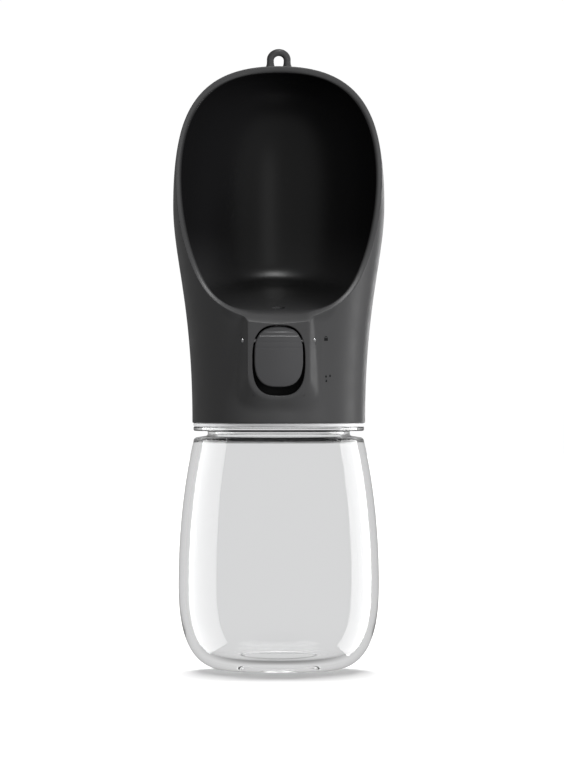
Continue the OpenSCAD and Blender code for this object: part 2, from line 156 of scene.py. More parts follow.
# Several meshes as one; they are used up
def merged(*meshes):
    result = bmesh.new()
    for mesh in meshes:
        data = bpy.data.meshes.new("part")
        mesh.to_mesh(data)
        mesh.free()
        result.from_mesh(data)
        bpy.data.meshes.remove(data)
    return result


# Stores a finished mesh in metres, smooth but for its sharp edges
def finishPiece(name, mesh, body, material, nodes=(), sharp=32):
    bmesh.ops.remove_doubles(mesh, verts=mesh.verts, dist=weld)
    bmesh.ops.recalc_face_normals(mesh, faces=mesh.faces)
    bmesh.ops.scale(mesh, vec=(metre, metre, metre), verts=mesh.verts)
    for face in mesh.faces:
        face.smooth = True
    for edge in mesh.edges:
        edge.smooth = len(edge.link_faces) == 2 and edge.calc_face_angle(0) < math.radians(sharp)
    data = bpy.data.meshes.new(name)
    mesh.to_mesh(data)
    mesh.free()
    piece = bpy.data.objects.new(name, data)
    scene.collection.objects.link(piece)
    data.materials.append(material)
    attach(piece, body)
    if nodes:
        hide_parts(*nodes)
    print("made", name, len(data.polygons), "faces")
    return piece


# Materials
grainShape = {
    "detail": 3.0, "noiseLow": 0.3, "noiseHigh": 0.7,
    "mouldedPatches": 160, "mouldedSpread": 0.04, "clearPatches": 40, "clearSpread": 0.01,
    "steelPatches": 900, "steelSpread": 0.06, "steelTone": (0.56, 0.56, 0.57),
}


def newMaterial(name):
    material = bpy.data.materials.new(name)
    material.use_nodes = True
    return material, material.node_tree, material.node_tree.nodes["Principled BSDF"]


def noiseNode(tree, scale):
    place = tree.nodes.new("ShaderNodeTexCoord")
    noise = tree.nodes.new("ShaderNodeTexNoise")
    noise.inputs["Scale"].default_value = scale
    noise.inputs["Detail"].default_value = grainShape["detail"]
    tree.links.new(place.outputs["Object"], noise.inputs["Vector"])
    return noise.outputs["Fac"]


# Lets a shader's roughness vary in patches
def variedRoughness(tree, shader, scale, low, high):
    spread = tree.nodes.new("ShaderNodeMapRange")
    spread.inputs["From Min"].default_value = grainShape["noiseLow"]
    spread.inputs["From Max"].default_value = grainShape["noiseHigh"]
    spread.inputs["To Min"].default_value = low
    spread.inputs["To Max"].default_value = high
    tree.links.new(noiseNode(tree, scale), spread.inputs["Value"])
    tree.links.new(spread.outputs["Result"], shader.inputs["Roughness"])


# Moulded plastic or rubber with a fine grain
def mouldedMaterial(name, color, rough, grain=2600, bump=0.12, specular=0.5, depth=0.00002):
    material, tree, shader = newMaterial(name)
    shader.inputs["Base Color"].default_value = (*color, 1)
    shader.inputs["Specular IOR Level"].default_value = specular
    spread = grainShape["mouldedSpread"]
    variedRoughness(tree, shader, grainShape["mouldedPatches"], rough - spread, rough + spread)
    relief = tree.nodes.new("ShaderNodeBump")
    relief.inputs["Strength"].default_value = bump
    relief.inputs["Distance"].default_value = depth
    tree.links.new(noiseNode(tree, grain), relief.inputs["Height"])
    tree.links.new(relief.outputs["Normal"], shader.inputs["Normal"])
    return material


# The same plastic, smoother where the piece's own attribute says that it is its inside, and with shade
# painted there by darkening its colour to near-black
def shadeTintedMaterial(name, color, rough, paintedShadeColor, insideRough):
    material = mouldedMaterial(name, color, rough)
    tree = material.node_tree
    shader = tree.nodes["Principled BSDF"]
    inside = tree.nodes.new("ShaderNodeAttribute")
    inside.attribute_name = "inside"
    # The base colour runs from the plastic's own colour to the painted shade colour by the attribute
    tones = tree.nodes.new("ShaderNodeMix")
    tones.data_type = "RGBA"
    tones.inputs["A"].default_value = (*color, 1)
    tones.inputs["B"].default_value = (*paintedShadeColor, 1)
    tree.links.new(inside.outputs["Fac"], tones.inputs["Factor"])
    tree.links.new(tones.outputs["Result"], shader.inputs["Base Color"])
    grain = shader.inputs["Roughness"].links[0].from_socket
    finish = tree.nodes.new("ShaderNodeMix")
    finish.inputs["B"].default_value = insideRough
    tree.links.new(inside.outputs["Fac"], finish.inputs["Factor"])
    tree.links.new(grain, finish.inputs["A"])
    tree.links.new(finish.outputs["Result"], shader.inputs["Roughness"])
    return material


def clearMaterial(name, color, rough, ior):
    material, tree, shader = newMaterial(name)
    shader.inputs["Base Color"].default_value = (*color, 1)
    shader.inputs["Transmission Weight"].default_value = 1
    shader.inputs["IOR"].default_value = ior
    spread = grainShape["clearSpread"]
    variedRoughness(tree, shader, grainShape["clearPatches"], max(rough - spread, 0), rough + spread)
    return material


def steelMaterial(name, rough):
    material, tree, shader = newMaterial(name)
    shader.inputs["Base Color"].default_value = (*grainShape["steelTone"], 1)
    shader.inputs["Metallic"].default_value = 1
    spread = grainShape["steelSpread"]
    variedRoughness(tree, shader, grainShape["steelPatches"], rough - spread, rough + spread)
    return material


looks = {
    "clear_bottle": clearMaterial("clearBottle", (0.985, 0.987, 0.99), 0.02, 1.27),
    "grey_seal": mouldedMaterial("greySeal", (0.36, 0.36, 0.365), 0.6, grain=900, bump=0.05),
    # The head's shell: charcoal outside, with shade painted near-black in its scoop, on its lip and in the
    # window's gap
    "charcoal_shell": shadeTintedMaterial("charcoalShell", (0.042, 0.042, 0.043), 0.37,
                                      (0.006, 0.006, 0.0064), 0.3),
    "charcoal_cap": mouldedMaterial("charcoalCap", (0.045, 0.045, 0.047), 0.5),
    "white_acetal": mouldedMaterial("whiteAcetal", (0.72, 0.71, 0.68), 0.4, grain=900, bump=0.04),
    # Black acetal, made darker and less shiny than the plastic is: partly its own black, partly painted shade
    # for the valve body seen in the gap under the key
    "black_acetal": mouldedMaterial("blackAcetal", (0.004, 0.004, 0.0042), 0.5, grain=900, bump=0.04,
                                    specular=0.2),
    "black_rubber": mouldedMaterial("blackRubber", (0.013, 0.013, 0.013), 0.65, grain=1500, bump=0.08),
    "spring_steel": steelMaterial("springSteel", 0.28),
    "key_plastic": mouldedMaterial("keyPlastic", (0.048, 0.048, 0.05), 0.33),
}
# The solids that stay as they are and only get a material
keptNodes = {
    "valve_body": "black_acetal",
    "inlet_ring": "black_rubber",
    "outlet_seal": "grey_seal",
    "gland_bush": "black_acetal",
    "stem_ring": "black_rubber",
    "rear_plug": "white_acetal",
    "plug_ring": "black_rubber",
    "return_spring": "spring_steel",
    "plunger": "white_acetal",
    "poppet_seal": "grey_seal",
    "key_rocker": "charcoal_cap",
}
for nodeName, slotName in keptNodes.items():
    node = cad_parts[nodeName]
    node.data.materials.clear()
    node.data.materials.append(looks[slotName])
print("materials made:", len(looks))

# The bottle and the seals

bottleShape = {
    "widest": 33.9, "widestZ": 29, "shoulder": 28.8, "shoulderZ": 77.4, "shoulderRound": 1.3,
    "footPull": 3.9, "bellyPull": 0.41, "wallPull": 0.37, "shoulderPull": (0.63, 0.72),
    "wall": 1.9, "plate": 1.3, "floor": 3.4, "foot": 17,
    "hollow": 13, "hollowDepth": 1.5, "hollowRound": 1.4, "hollowFoot": ((0.35, 0.06), (0.8, 0)),
    "neck": 24, "bore": 21.9, "boreEnds": (1.5, 1.6), "mouthRound": 0.4, "innerRound": 1.1, "innerDrop": 1,
    "neckRoot": ((1.2, 0.42), (0.45, 0.5), (0.12, 0.75), (0, 1.1)),
    "boreRoot": ((0.15, 0.75), (0.8, 0.25)),
    "flange": 28.8, "flangeLow": 80.9, "flangeHigh": 82.3, "flangeUnder": 0.45, "flangeOver": 0.3,
    "flangeRoot": (0.3, 0.25), "ridge": 0.85, "ridgeStep": 0.17, "ridgeEnds": (0.4, 0.45), "columns": 160,
}
threadShape = {"pitch": 3.2, "crest": (0.05, 0.75), "fade": 0.9, "aboveFlange": 0.5, "underMouth": 0.3}


# The side's outline from the foot to the shoulder, at a depth in from the outside
def bottleSide(wall, low, top):
    s = bottleShape
    r = s["widest"] - wall
    lift = top - s["widestZ"]
    edge = s["shoulder"] - wall
    inPull, upPull = s["shoulderPull"]
    lower = bezier([(s["foot"], low), (r - s["footPull"], low),
                    (r, low + s["bellyPull"] * (s["widestZ"] - low)), (r, s["widestZ"])], 40)
    upper = bezier([(r, s["widestZ"]), (r, s["widestZ"] + s["wallPull"] * lift),
                    (edge + inPull * (r - edge), s["widestZ"] + upPull * lift), (edge, top)], 36)
    return [tuple(p) for p in lower[:-1]] + [tuple(p) for p in upper]


def arcPoints(centre, radius, start, end, count):
    angles = np.radians(np.linspace(start, end, count + 1))
    return [(centre[0] + radius * math.cos(a), centre[1] + radius * math.sin(a)) for a in angles]


# A screw's ridge at a height and angle, fading at both ends
def threadHeight(height, angle, low, high, ridge, phase=0):
    s = threadShape
    turn = (height - low) / s["pitch"] - angle / (2 * np.pi) + phase
    shape = softStep(np.cos(2 * np.pi * turn), *s["crest"])
    start = softStep(height, low, low + s["fade"])
    end = softStep(-height, -high, -high + s["fade"])
    return ridge * shape * start * end


def makeBottle():
    s = bottleShape
    neck = s["neck"]
    top = s["shoulderZ"] + s["shoulderRound"]
    # The hollow under the foot and the ring that it stands on
    rings = [(r, s["hollowDepth"]) for r in (0, 4, 8)]
    rings += arcPoints((s["hollow"] - s["hollowDepth"], s["hollowDepth"] - s["hollowRound"]),
                       s["hollowRound"], 90, 12, 8)
    rings += [(s["hollow"] + out, up) for out, up in s["hollowFoot"]]
    # Outside and shoulder
    rings += bottleSide(0, 0, s["shoulderZ"])
    rings += arcPoints((s["shoulder"] - s["shoulderRound"], s["shoulderZ"]), s["shoulderRound"], 8, 78, 8)
    # Neck and flange
    rings += [(neck + out, top + up) for out, up in s["neckRoot"]]
    rootOut, rootUp = s["flangeRoot"]
    rings += [(neck, s["flangeLow"] - rootOut), (neck + rootOut, s["flangeLow"])]
    under = s["flangeUnder"]
    over = s["flangeOver"]
    rings += arcPoints((s["flange"] - under, s["flangeLow"] + under), under, -90, 0, 5)
    rings += arcPoints((s["flange"] - over, s["flangeHigh"] - over), over, 0, 90, 4)
    rings += [(neck + rootOut, s["flangeHigh"]), (neck, s["flangeHigh"] + rootUp)]
    overFlange, underMouth = s["ridgeEnds"]
    rings += [(neck, z) for z in np.arange(s["flangeHigh"] + overFlange, mouthZ - underMouth, s["ridgeStep"])]
    # Mouth
    lip = s["mouthRound"]
    rings += arcPoints((neck - lip, mouthZ - lip), lip, 0, 90, 4)
    rings += arcPoints((s["bore"] + lip, mouthZ - lip), lip, 90, 180, 4)
    # Inside, down to the floor
    innerTop = top - s["plate"]
    edge = s["shoulder"] - s["wall"]
    inside = bottleSide(s["wall"], s["floor"], innerTop - s["innerDrop"])
    underMouth, overInside = s["boreEnds"]
    rings += [(s["bore"], z) for z in np.linspace(mouthZ - underMouth, innerTop + overInside, 4)]
    rings += [(s["bore"] + out, innerTop + up) for out, up in s["boreRoot"]]
    rings += arcPoints((edge - s["innerRound"], innerTop - s["innerDrop"]), s["innerRound"], 88, 8, 7)
    rings += inside[::-1]
    rings += [(r, s["floor"]) for r in (12, 6, 0)]
    table = turnedTable(rings, s["columns"])
    # The ridge of thread on the neck above the flange
    onNeck = np.abs(np.array([r[0] for r in rings]) - neck) < 0.01
    angle = np.arctan2(table[:, :, 1], table[:, :, 0])
    height = table[:, :, 2]
    low = s["flangeHigh"] + threadShape["aboveFlange"]
    rise = threadHeight(height, angle, low, mouthZ - threadShape["underMouth"], s["ridge"])
    rise = rise * onNeck[:, None] * (height > s["flangeHigh"])
    table[:, :, 0] += rise * np.cos(angle)
    table[:, :, 1] += rise * np.sin(angle)
    finishPiece("bottleShell", wovenMesh(table), "bottle", looks["clear_bottle"],
                ["bottle"], sharp=40)


sealShape = {
    "flangeRing": {"node": "flange_seal", "body": "bottle", "inner": 24.25, "rounding": 0.3},
    "mouthRing": {"node": "mouth_seal", "body": "neck_ring", "inner": 21.7, "rounding": 0.25},
}


def makeSeals():
    for name, s in sealShape.items():
        low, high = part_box(s["node"])
        rounding = s["rounding"]
        inside = s["inner"] + rounding
        outside = high.x / metre - rounding
        bottom = low.z / metre + rounding
        top = high.z / metre - rounding
        corners = ((outside, bottom, -90), (outside, top, 0), (inside, top, 90), (inside, bottom, 180))
        ring = []
        for x, z, start in corners:
            ring += arcPoints((x, z), rounding, start, start + 90, 4)
        finishPiece(name, wovenMesh(turnedTable(ring, columns=144), loop=True), s["body"], looks["grey_seal"],
                    [s["node"]], sharp=40)


# The drinking head and its cord eye

headShape = {
    "collar": 29.2, "widest": 35.7, "widestH": 73.5, "wall": 2.2,
    "edgeInside": ((0, 4.0), (0, 0.7), (0.12, 0.22), (0.5, 0)),
    "edgeOutside": ((0.55, 0), (0.28, 0.06), (0.09, 0.2)),
    "wallPull": (0.555, 0.755), "domePull": (0.785, 0.67),
    "padY": 30.9, "padHalf": 10.4, "padCorner": 8.5, "padLow": 8.1, "padFlare": 4, "padDepth": 6.5,
    "padApron": 8.6, "padEdge": 0.4, "padBlend": 0.6, "padFacing": 0.6,
    "windowHalf": 8.8, "windowLow": 9.3, "windowHigh": 32.8, "squareness": 2.8,
    "windowEdge": ((-2, 0.2), (-0.02, 0.2), (0.06, 0.09), (0.15, 0.025), (0.3, 0)),
    "outletY": -20.2, "outletRadius": 2.25, "capRadius": 26.75, "capGap": 1.3,
    "ledgeH": 8.05, "ledgeTop": 9.45, "ledgeOpening": 12.2,
    "frameHalf": 10.5, "frameTop": 34.2, "chordY": -24.81,
    "pinY": -27.8, "pinH": 27.7, "pinRadius": 0.95, "pinHoleHalf": 12.35,
    "outerRound": 0.3, "innerRound": (0.72, 0.3), "roundReach": 2.8,
    "columns": 300, "outerRows": 88, "cavityRows": 84, "underRows": 30,
}
# The scoop and the dry space under it, each seen from a point in its middle
scoopShape = {
    "floorH": 37.8, "slope": 10.2, "crestY": 25.2, "middleH": 75.0, "round": 3.0,
    "flat": 20, "edge": 36, "edgePull": (0.82, 0.92, 2.1), "edgeUp": 14, "beyond": (60, 80), "overDome": 5,
    "underWall": 2.2, "underMiddleH": 20.0, "underRound": 1.5,
    "frontDrop": 2.7, "dropFrom": 22, "dropTo": 24.4,
}
# The rim from the side; the last two points are counted from the dome's top
rimShape = {
    "lip": (-31.6, 33.5), "lipPull": (-23.175, 41.1), "bendPull": (-18.1, 43.9), "bend": (-12.3, 66.5),
    "browPull": (-8.7, 80.5), "topPull": (2.3, -19), "top": (8, 1.5),
    "dip": 0.7, "dipHalf": 10, "dipFull": 37, "dipEnd": 44,
}
slopeRate = math.tan(math.radians(scoopShape["slope"]))


def headSide(wall, count=400):
    s = headShape
    r = s["widest"] - wall
    top = dome - wall
    foot = s["collar"] - wall
    lowPull, highPull = s["wallPull"]
    risePull, roofPull = s["domePull"]
    lower = bezier([(foot, 0), (foot, lowPull * s["widestH"]), (r, highPull * s["widestH"]),
                    (r, s["widestH"])], count)
    upper = bezier([(r, s["widestH"]), (r, s["widestH"] + risePull * (top - s["widestH"])),
                    (roofPull * r, top), (0, top)], count)
    return np.vstack([lower[:-1], upper])


def rimCurve(count=300):
    s = rimShape
    topPull = (s["topPull"][0], dome + s["topPull"][1])
    top = (s["top"][0], dome + s["top"][1])
    lower = bezier([s["lip"], s["lipPull"], s["bendPull"], s["bend"]], count)
    upper = bezier([s["bend"], s["browPull"], topPull, top], count)
    return np.vstack([lower[:-1], upper])


# How far the scoop's floor rises with the distance from its middle line
def riseCurve():
    s = scoopShape
    edge = s["edge"]
    first, second, up = s["edgePull"]
    curve = bezier([(s["flat"], 0), (first * edge, 0), (second * edge, up), (edge, s["edgeUp"])], 120)
    return np.vstack([[0, 0], curve, s["beyond"]])


outerSide = headSide(0)
innerSide = headSide(headShape["wall"])
rimLine = rimCurve()
riseLine = riseCurve()
outerLength = np.concatenate([[0], np.cumsum(np.hypot(*np.diff(outerSide, axis=0).T))])


# A level row of points at a distance from the axis, with azimuths counted from the front
def levelRow(azimuth, reach, height):
    parts = np.broadcast_arrays(reach * np.sin(azimuth), -reach * np.cos(azimuth), height)
    return np.stack(parts, axis=-1)


# The rim's depth at a height; over the pad it dips in its middle
def rimY(x, height):
    s = rimShape
    middle = np.clip(1 - (x / s["dipHalf"]) ** 2, 0, 1)
    dip = s["dip"] * middle * softStep(-height, -s["dipEnd"], -s["dipFull"])
    return np.interp(height + dip, rimLine[:, 1], rimLine[:, 0])


# Distance from the pad's outline at a depth behind its face, negative inside the pad
def padDistance(x, height, depth):
    s = headShape
    share = np.maximum(depth, 0) / s["padDepth"]
    corner = s["padCorner"] + s["padFlare"] * share
    low = s["padLow"] + s["padCorner"] - s["padApron"] * share
    qx = np.abs(x) - (s["padHalf"] - s["padCorner"])
    high = scoopShape["floorH"]
    qz = np.abs(height - (low + high) / 2) - (high - low) / 2
    outside = np.hypot(np.maximum(qx, 0), np.maximum(qz, 0))
    return outside + np.minimum(np.maximum(qx, qz), 0) - corner


# The wall's radius at an azimuth from the front, swelled out where the pad stands
def outerRadius(azimuth, radius, height):
    s = headShape
    cosine = np.maximum(np.cos(azimuth), 0.2)

    def overPad(reach):
        depth = s["padY"] - reach * cosine
        return softMax(-depth, padDistance(reach * np.sin(azimuth), height, depth), s["padEdge"])

    shape = np.broadcast_shapes(np.shape(azimuth), np.shape(height))
    nearest, farthest = (8.0, 45.0)
    pad = crossing(overPad, np.full(shape, nearest), np.full(shape, farthest))
    pad = np.where(np.cos(azimuth) > s["padFacing"], pad, 0)
    return softMax(radius, pad, s["padBlend"])


# The outside's point at an azimuth and at a length along the side's outline
def outerPoint(azimuth, length):
    radius = np.interp(length, outerLength, outerSide[:, 0])
    height = np.interp(length, outerLength, outerSide[:, 1])
    return levelRow(azimuth, outerRadius(azimuth, radius, height), height)


# How far a point is inside the scoop, rounded where its floor meets its wall
def scoopDepth(x, y, height):
    s = scoopShape
    across = np.where(y < 0, np.abs(x), np.hypot(x, y))
    floor = s["floorH"] + (y + s["crestY"]) * slopeRate + np.interp(across, riseLine[:, 0], riseLine[:, 1])
    top = dome - headShape["wall"]
    wall = np.interp(np.minimum(height, top), innerSide[:, 1], innerSide[:, 0])
    wall = wall - np.hypot(x, y) - np.maximum(height - top, 0) * s["overDome"]
    return softMin(wall, height - floor, s["round"])


# How far a point is inside the dry space under the scoop
def underDepth(x, y, height):
    s = scoopShape
    roof = s["floorH"] - s["underWall"] / math.cos(math.radians(s["slope"]))
    roof = roof + (y + s["crestY"]) * slopeRate - s["frontDrop"] * softStep(-y, s["dropFrom"], s["dropTo"])
    wall = np.interp(height, innerSide[:, 1], innerSide[:, 0]) - np.hypot(x, y)
    return softMin(wall, roof - height, s["underRound"])


# The point of a hollow's surface that a ray from its middle meets
def rayPoint(depth, centre, azimuth, tilt):
    flat = np.cos(tilt)
    lift = np.sin(tilt)

    def outside(reach):
        return -depth(reach * flat * np.sin(azimuth), -reach * flat * np.cos(azimuth), centre + reach * lift)

    shape = np.broadcast_shapes(np.shape(azimuth), np.shape(tilt))
    farthest = 70.0
    reach = crossing(outside, np.zeros(shape), np.full(shape, farthest))
    return levelRow(azimuth, reach * flat, centre + reach * lift)


def scoopPoint(azimuth, tilt):
    return rayPoint(scoopDepth, scoopShape["middleH"], azimuth, tilt)


def underPoint(azimuth, tilt):
    return rayPoint(underDepth, scoopShape["underMiddleH"], azimuth, tilt)


# How far a ray's point on the scoop lies behind the rim
def rimCut(azimuth, tilt):
    point = scoopPoint(azimuth, tilt)
    return point[..., 1] - rimY(point[..., 0], point[..., 2])


# Where the rim cuts the outside, as a length along the side's outline
def rimLength(azimuth):
    def cut(length):
        point = outerPoint(azimuth, length)
        return rimY(point[..., 0], point[..., 2]) - point[..., 1]

    return crossing(cut, np.zeros(np.shape(azimuth)), np.full(np.shape(azimuth), outerLength[-1]))


# Azimuths that crowd at the pad and follow the rim's length elsewhere
spacingShape = {"steps": 1501, "rimShare": 0.9, "least": 32, "padExtra": 42, "padFrom": 0.5, "padTo": 0.62}


def headAzimuths():
    s = spacingShape
    fine = np.linspace(0, np.pi, s["steps"])
    middle = (fine[1:] + fine[:-1]) / 2
    rim = outerPoint(fine, rimLength(fine))
    travel = np.linalg.norm(np.diff(rim, axis=0), axis=1) / (fine[1] - fine[0])
    weight = np.maximum(travel * s["rimShare"], s["least"])
    weight = weight + s["padExtra"] * softStep(-middle, -s["padTo"], -s["padFrom"])
    total = np.concatenate([[0], np.cumsum(weight)])
    half = headShape["columns"] // 2
    places = np.interp(np.linspace(0, total[-1], half + 1), total, fine)
    return np.concatenate([places, -places[-2:0:-1]])


def bezierRow(a, b, c, t):
    return (1 - t) ** 2 * a + 2 * (1 - t) * t * b + t * t * c


# The head's rows: under the scoop, down the inside, up the outside, over the rim and into the scoop
def headTable():
    s = headShape
    azimuth = headAzimuths()
    quarter = np.pi / 2
    upright = np.full(azimuth.shape, quarter)
    # Under the scoop, from the middle out and down to the ledge
    roof = underPoint(azimuth, upright)
    rows = [np.broadcast_to(roof[:1], roof.shape)]
    wall = s["collar"] - s["wall"]
    lowTilt = math.atan2(s["ledgeTop"] - scoopShape["underMiddleH"], wall)
    for t in np.linspace(0, 1, s["underRows"] + 1)[1:-1]:
        rows.append(underPoint(azimuth, np.full(azimuth.shape, quarter * (1 - t) + lowTilt * t)))
    # The ledge that carries the inner cap, open at the front
    across = np.abs(wall * np.sin(azimuth))
    side = 1 - softStep(np.where(np.cos(azimuth) > 0, s["ledgeOpening"] - across, -1), 0, 0.8)
    step = side * (wall - s["capRadius"] + s["capGap"])
    for depth, height in ((0, s["ledgeTop"]), (1, s["ledgeTop"]), (1, s["ledgeH"]), (0, s["ledgeH"])):
        rows.append(levelRow(azimuth, wall - depth * step, height))
    # Collar's lower edge
    edge = [(wall + out, up) for out, up in s["edgeInside"]]
    edge += [(s["collar"] - back, up) for back, up in s["edgeOutside"]]
    for reach, height in edge:
        rows.append(levelRow(azimuth, reach, height))
    # Outside, up to the rim
    outerRound = s["outerRound"]
    start = 0.5
    top = rimLength(azimuth)
    for t in np.linspace(0, 1, s["outerRows"]):
        rows.append(outerPoint(azimuth, start + (top - outerRound - start) * t))
    # Rim, rounded more at the sides than at the front
    corner = outerPoint(azimuth, top)
    tilt = crossing(lambda a: -rimCut(azimuth, a), -upright, upright)
    inner = scoopPoint(azimuth, tilt)
    width = np.linalg.norm(inner - corner, axis=1)
    share, frontLess = s["innerRound"]  # shares of the rim's width
    innerRound = (share - frontLess * softStep(np.cos(azimuth), 0.55, 0.95)) * width

    def landPoint(t):
        point = corner + (inner - corner) * t[:, None]
        point[:, 1] = rimY(point[:, 0], point[:, 2])
        return point

    before = rows[-1]
    first = landPoint(outerRound / width)
    for t in (0.25, 0.5, 0.75, 1):
        rows.append(bezierRow(before, corner, first, t))
    rows.append(landPoint((outerRound + (width - outerRound - innerRound) * 0.5) / width))
    last = landPoint(1 - innerRound / width)
    small = 0.002
    near = scoopPoint(azimuth, tilt - small)
    speed = np.linalg.norm(near - inner, axis=1) / small
    tiltIn = tilt - s["roundReach"] / speed
    arrival = scoopPoint(azimuth, tiltIn)
    for t in np.linspace(0, 1, 9)[:-1]:
        rows.append(bezierRow(last, inner, arrival, t))
    # Scoop, down to the middle of its floor
    for t in np.linspace(0, 1, s["cavityRows"])[:-1]:
        rows.append(scoopPoint(azimuth, tiltIn * (1 - t) - quarter * t))
    bottom = scoopPoint(azimuth, -upright)
    rows.append(np.broadcast_to(bottom[:1], bottom.shape))
    return np.array(rows)


# A superellipse round the middle of the window, front view
def ovalRow(halfX, halfZ, middle, y, columns):
    s = headShape
    angle = np.linspace(0, 2 * np.pi, columns, endpoint=False)
    power = 2 / s["squareness"]
    x = halfX * np.sign(np.cos(angle)) * np.abs(np.cos(angle)) ** power
    z = halfZ * np.sign(np.sin(angle)) * np.abs(np.sin(angle)) ** power
    return np.stack([x, np.full(columns, float(y)), middle + z], axis=-1)


# A closed loft of superellipses, each given by its depth and its growth over the first size
def ovalMesh(halfX, halfZ, middle, steps, columns=96):
    rows = [ovalRow(halfX + grow, halfZ + grow, middle, y, columns) for y, grow in steps]
    rows.insert(0, np.full((columns, 3), (0, steps[0][0], middle)))
    rows.append(np.full((columns, 3), (0, steps[-1][0], middle)))
    return wovenMesh(np.array(rows))


def turnToX(mesh):
    turn = Vector((0, 0, 1)).rotation_difference((1, 0, 0)).to_matrix()
    bmesh.ops.rotate(mesh, verts=mesh.verts, matrix=turn)


def drill(radius, length, axis, centre):
    mesh = bmesh.new()
    bmesh.ops.create_cone(mesh, cap_ends=True, segments=48, radius1=radius, radius2=radius, depth=length)
    if axis == "X":
        turnToX(mesh)
    bmesh.ops.translate(mesh, vec=centre, verts=mesh.verts)
    return mesh


windowMiddle = (headShape["windowLow"] + headShape["windowHigh"]) / 2
windowHeight = headShape["windowHigh"] - headShape["windowLow"]
# How the painted shade is spread: its depth into the scoop, the darker lip, less shade at the front and low
# down, and the black in the window's gap
paintedShadeShape = {
    "shallow": -1.5, "deep": -0.1, "lipExtra": 2.5, "lipFrom": 23, "lipTo": 27,
    "frontFade": 0.6, "fadeFrom": 10, "fadeTo": 28, "lowTone": 0.5, "lowH": 40, "highH": 68,
    "slack": 0.05, "gapFrom": 0.4, "gapTo": 1.4, "gapFront": -20,
}


# Where the head gets its painted shade: in the scoop and over its lip, less at its front and low down, and
# painted black in the window's gap round the key
def paintedShade(x, y, height):
    s = paintedShadeShape
    lip = softStep(-y, s["lipFrom"], s["lipTo"])
    shade = softStep(scoopDepth(x, y, height) + s["lipExtra"] * lip, s["shallow"], s["deep"])
    shade = shade * (1 - s["frontFade"] * softStep(-y, s["fadeFrom"], s["fadeTo"]))
    shade *= s["lowTone"] + (1 - s["lowTone"]) * softStep(height, s["lowH"], s["highH"])
    face = -headShape["padY"]
    # The gap round the key is painted black as shade
    gap = np.abs(x) < headShape["windowHalf"] + s["slack"]
    gap = gap * (np.abs(height - windowMiddle) < windowHeight / 2 + s["slack"]) * (y < s["gapFront"])
    return np.maximum(shade, gap * softStep(y, face + s["gapFrom"], face + s["gapTo"]))


def makeHead():
    s = headShape
    shell = wovenMesh(headTable())
    # The frame behind the window, trimmed to the middle of the wall
    core = headSide(s["wall"] / 2, 40)
    inside = wovenMesh(turnedTable([(0, core[0, 1]), *core], 96))
    frameBlock = block((-s["frameHalf"], -s["padY"], s["ledgeH"] + 0.05),
                       (s["frameHalf"], s["chordY"], s["frameTop"]))
    shell = combined(shell, combined(frameBlock, inside, "INTERSECT"), "UNION")
    # Window, pin hole and outlet
    face = -s["padY"]
    steps = [(face + back, grow) for back, grow in s["windowEdge"]] + [(s["chordY"] + 1, 0)]
    window = ovalMesh(s["windowHalf"], windowHeight / 2, windowMiddle, steps)
    pinHole = drill(s["pinRadius"], 2 * s["pinHoleHalf"], "X", (0, s["pinY"], s["pinH"]))
    window = combined(window, pinHole, "UNION")
    through = 14  # more than the floor is thick
    outlet = drill(s["outletRadius"], through, "Z", (0, s["outletY"], scoopShape["floorH"] + 1))
    shell = combined(shell, merged(window, outlet), "DIFFERENCE")
    bmesh.ops.translate(shell, vec=(0, 0, collarZ), verts=shell.verts)
    piece = finishPiece("headShell", shell, "head", looks["charcoal_shell"],
                        ["trough_shell"], sharp=34)
    # Each point's painted shade, stored in the head's 'inside' attribute, which darkens its colour
    place = np.empty(len(piece.data.vertices) * 3)
    piece.data.vertices.foreach_get("co", place)
    x, y, z = place.reshape(-1, 3).T / metre
    inside = piece.data.attributes.new("inside", "FLOAT", "POINT")
    inside.data.foreach_set("value", paintedShade(x, y, z - collarZ))


eyeShape = {
    "bar": 1.2, "sunk": 1.2, "thicker": 0.16, "lower": 0.42, "footGrowth": 1.75,
    "legs": ((-0.6, 1.0), (-1.2, 1.03), (-1.7, 1.12), (-2.2, 1.28), (-2.7, 1.5)),
}


def makeEye():
    s = eyeShape
    low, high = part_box("cord_eye")
    bar = s["bar"]
    ring = (high.x / metre) - bar
    centre = high.z / metre - bar - ring
    middle = (low.y + high.y) / 2 / metre
    foot = collarZ + dome - s["sunk"]
    mesh = bmesh.new()
    # Arch
    bmesh.ops.create_circle(mesh, cap_ends=False, segments=28, radius=bar)
    bmesh.ops.translate(mesh, vec=(ring, 0, 0), verts=mesh.verts)
    bmesh.ops.spin(mesh, geom=mesh.verts[:] + mesh.edges[:], cent=(0, 0, 0), axis=(0, -1, 0),
                   dvec=(0, 0, 0), angle=math.pi, steps=32)
    # Legs, which widen down into the dome
    ends = [[e for e in mesh.edges if all(abs(v.co.z) < 1e-4 and v.co.x * side > 0 for v in e.verts)]
            for side in (1, -1)]
    for side, loop in zip((1, -1), ends):
        for level, growth in (*s["legs"], (foot - centre, s["footGrowth"])):
            made = bmesh.ops.extrude_edge_only(mesh, edges=loop)["geom"]
            verts = [g for g in made if isinstance(g, bmesh.types.BMVert)]
            loop = [g for g in made if isinstance(g, bmesh.types.BMEdge)
                    and all(v in verts for v in g.verts)]
            spot = sum((v.co for v in verts), Vector()) / len(verts)
            before = (verts[0].co - spot).length / bar
            for vert in verts:
                vert.co = Vector((ring * side, 0, level)) + (vert.co - spot) * (growth / before)
        bmesh.ops.contextual_create(mesh, geom=loop)
    # The arch is a little thicker and lower at its top
    for vert in mesh.verts:
        if vert.co.z > 0:
            lift = vert.co.z / (ring + bar)
            around = Vector((vert.co.x, 0, vert.co.z)).normalized() * ring
            vert.co = around + (vert.co - around) * (1 + s["thicker"] * lift)
            vert.co.z -= s["lower"] * lift
    bmesh.ops.translate(mesh, vec=(0, middle, centre), verts=mesh.verts)
    finishPiece("cordEye", mesh, "head", looks["charcoal_shell"], ["cord_eye"], sharp=40)


# Key, pin, marks and cap

